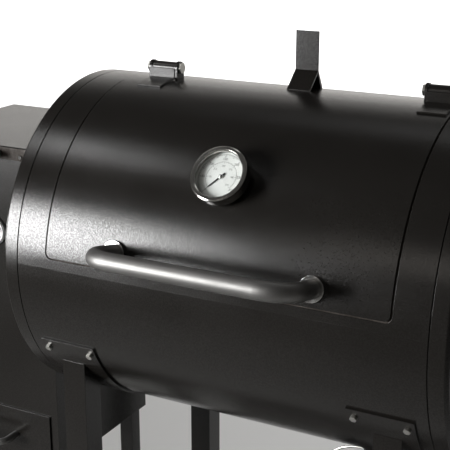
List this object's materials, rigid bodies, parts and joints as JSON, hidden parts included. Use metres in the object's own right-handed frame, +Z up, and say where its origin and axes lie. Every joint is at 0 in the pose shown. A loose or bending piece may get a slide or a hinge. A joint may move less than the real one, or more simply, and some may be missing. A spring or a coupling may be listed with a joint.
{
  "type": "offset smoker",
  "caption": "Barrel smoker on a wheeled frame with a hinged lid, a dial thermometer, a tall top-loading side firebox, a chimney and a hanging grease bucket.",
  "frame": {"origin": "centre of the bounding box, on the floor", "axes": "+X along the barrel from the firebox to the chimney, -Y the front with the lid handle, +Z up"},
  "size_m": [1.0602, 0.5832, 1.267],
  "materials": {
    "black_coat": "satin black high-heat powder coat, fine orange peel",
    "zinc_steel": "zinc-plated steel",
    "brushed_stainless": "brushed stainless steel",
    "polished_trim": "polished",
    "cast_alloy": "satin cast alloy",
    "cast_iron": "seasoned cast iron",
    "chromed_rack": "chrome-plated steel",
    "raw_steel": "plain mild steel sheet",
    "galvanised": "galvanised sheet",
    "dial_white": "white printed dial",
    "dial_glass": "clear",
    "needle_paint": "black enamel",
    "wheel_paint": "black enamel",
    "tyre_rubber": "matte rubber",
    "caster_rubber": "matte rubber"
  },
  "bodies": {
    "frame": {"upper_shell": "black_coat", "lower_shell": "black_coat", "left_end_cap": "black_coat", "right_end_cap": "black_coat", "hinge_ears": "black_coat", "hinge_pins": "zinc_steel", "lid_rest": "black_coat", "front_left_leg": "black_coat", "front_right_leg": "black_coat", "rear_left_leg": "black_coat", "rear_right_leg": "black_coat", "leg_brackets": "black_coat", "leg_bolts": "zinc_steel", "base_frame": "black_coat", "bottom_shelf": "black_coat", "firebox_shell": "black_coat", "firebox_hinge": "zinc_steel", "heat_duct": "black_coat", "firebox_stand": "black_coat", "blank_plate": "cast_alloy", "chimney_elbow": "black_coat", "chimney_pipe": "black_coat", "ledges": "black_coat", "drain_spout": "black_coat", "wheel_axle": "zinc_steel", "axle_ears": "black_coat", "axle_nuts": "zinc_steel", "caster_plates": "zinc_steel"},
    "lid": {"lid": "black_coat", "hinge_leaves": "black_coat", "handle_bar": "brushed_stainless", "handle_collars": "polished_trim", "handle_screws": "zinc_steel", "dial_case": "brushed_stainless", "dial_face": "dial_white", "dial_glass": "dial_glass"},
    "needle": {"dial_needle": "needle_paint"},
    "firebox_lid": {"firebox_lid": "black_coat", "firebox_lid_handle": "brushed_stainless"},
    "ash_drawer": {"ash_drawer": "black_coat", "drawer_handle": "brushed_stainless"},
    "air_shutter": {"air_shutter": "black_coat"},
    "chimney_damper": {"chimney_damper": "black_coat"},
    "front_wheel": {"front_wheel": "wheel_paint", "front_tyre": "tyre_rubber"},
    "rear_wheel": {"rear_wheel": "wheel_paint", "rear_tyre": "tyre_rubber"},
    "front_caster": {"front_caster_fork": "zinc_steel"},
    "front_caster_wheel": {"front_caster_wheel": "caster_rubber"},
    "front_caster_brake": {"front_caster_brake": "zinc_steel"},
    "rear_caster": {"rear_caster_fork": "zinc_steel"},
    "rear_caster_wheel": {"rear_caster_wheel": "caster_rubber"},
    "rear_caster_brake": {"rear_caster_brake": "zinc_steel"},
    "left_grate": {"left_grate": "cast_iron"},
    "right_grate": {"right_grate": "cast_iron"},
    "warming_rack": {"warming_rack": "chromed_rack"},
    "baffle_plate": {"baffle_plate": "raw_steel"},
    "coal_grate": {"coal_grate": "cast_iron"},
    "bail": {"bucket_bail": "zinc_steel"},
    "bucket": {"grease_bucket": "galvanised"}
  },
  "joints": [
    {"name": "lid_hinge", "type": "hinge", "parent": "frame", "child": "lid", "pos_m": [0.09015, 0.03063, 1.063], "axis": [-1, 0, 0], "range_deg": [0, 125]},
    {"name": "needle_turn", "type": "hinge", "parent": "lid", "child": "needle", "pos_m": [0.09315, -0.1686, 0.96539], "axis": [0, 0.7771, -0.6293], "range_deg": [0, 270]},
    {"name": "firebox_lid_hinge", "type": "hinge", "parent": "frame", "child": "firebox_lid", "pos_m": [-0.37885, 0.17363, 0.9375], "axis": [-1, 0, 0], "range_deg": [0, 100]},
    {"name": "ash_drawer_slide", "type": "slide", "parent": "frame", "child": "ash_drawer", "axis": [0, -1, 0], "range_m": [0, 0.2]},
    {"name": "air_shutter_turn", "type": "hinge", "parent": "frame", "child": "air_shutter", "pos_m": [-0.51385, 0.03563, 0.555], "axis": [1, 0, 0], "range_deg": [0, 45]},
    {"name": "chimney_damper_turn", "type": "hinge", "parent": "frame", "child": "chimney_damper", "pos_m": [0.48615, 0.13963, 1.261], "axis": [0, 0, 1], "range_deg": [0, 110]},
    {"name": "front_wheel_spin", "type": "hinge", "parent": "frame", "child": "front_wheel", "pos_m": [0.33215, -0.19337, 0.1], "axis": [0, 1, 0], "continuous": true},
    {"name": "rear_wheel_spin", "type": "hinge", "parent": "frame", "child": "rear_wheel", "pos_m": [0.33215, 0.26463, 0.1], "axis": [0, 1, 0], "continuous": true},
    {"name": "front_caster_swivel", "type": "hinge", "parent": "frame", "child": "front_caster", "pos_m": [-0.48485, -0.15037, 0.116], "axis": [0, 0, 1], "continuous": true},
    {"name": "front_caster_spin", "type": "hinge", "parent": "front_caster", "child": "front_caster_wheel", "pos_m": [-0.45985, -0.15037, 0.045], "axis": [0, 1, 0], "continuous": true},
    {"name": "front_caster_brake_press", "type": "hinge", "parent": "front_caster", "child": "front_caster_brake", "pos_m": [-0.45285, -0.15037, 0.1055], "axis": [0, 1, 0], "range_deg": [0, 15]},
    {"name": "rear_caster_swivel", "type": "hinge", "parent": "frame", "child": "rear_caster", "pos_m": [-0.48485, 0.22163, 0.116], "axis": [0, 0, 1], "continuous": true},
    {"name": "rear_caster_spin", "type": "hinge", "parent": "rear_caster", "child": "rear_caster_wheel", "pos_m": [-0.45985, 0.22163, 0.045], "axis": [0, 1, 0], "continuous": true},
    {"name": "rear_caster_brake_press", "type": "hinge", "parent": "rear_caster", "child": "rear_caster_brake", "pos_m": [-0.45285, 0.22163, 0.1055], "axis": [0, 1, 0], "range_deg": [0, 15]},
    {"name": "left_grate_lift", "type": "slide", "parent": "frame", "child": "left_grate", "axis": [0, 0, 1], "range_m": [0, 0.05]},
    {"name": "right_grate_lift", "type": "slide", "parent": "frame", "child": "right_grate", "axis": [0, 0, 1], "range_m": [0, 0.05]},
    {"name": "warming_rack_lift", "type": "slide", "parent": "frame", "child": "warming_rack", "axis": [0, 0, 1], "range_m": [0, 0.02]},
    {"name": "baffle_plate_lift", "type": "slide", "parent": "frame", "child": "baffle_plate", "axis": [0, 0, 1], "range_m": [0, 0.03]},
    {"name": "coal_grate_lift", "type": "slide", "parent": "frame", "child": "coal_grate", "axis": [0, 0, 1], "range_m": [0, 0.15]},
    {"name": "bail_swing", "type": "hinge", "parent": "frame", "child": "bail", "pos_m": [0.24015, 0.00963, 0.5298], "axis": [1, 0, 0], "range_deg": [-20, 20]},
    {"name": "bucket_swing", "type": "hinge", "parent": "bail", "child": "bucket", "pos_m": [0.24015, 0.00963, 0.4518], "axis": [1, 0, 0], "range_deg": [-20, 20]}
  ]
}
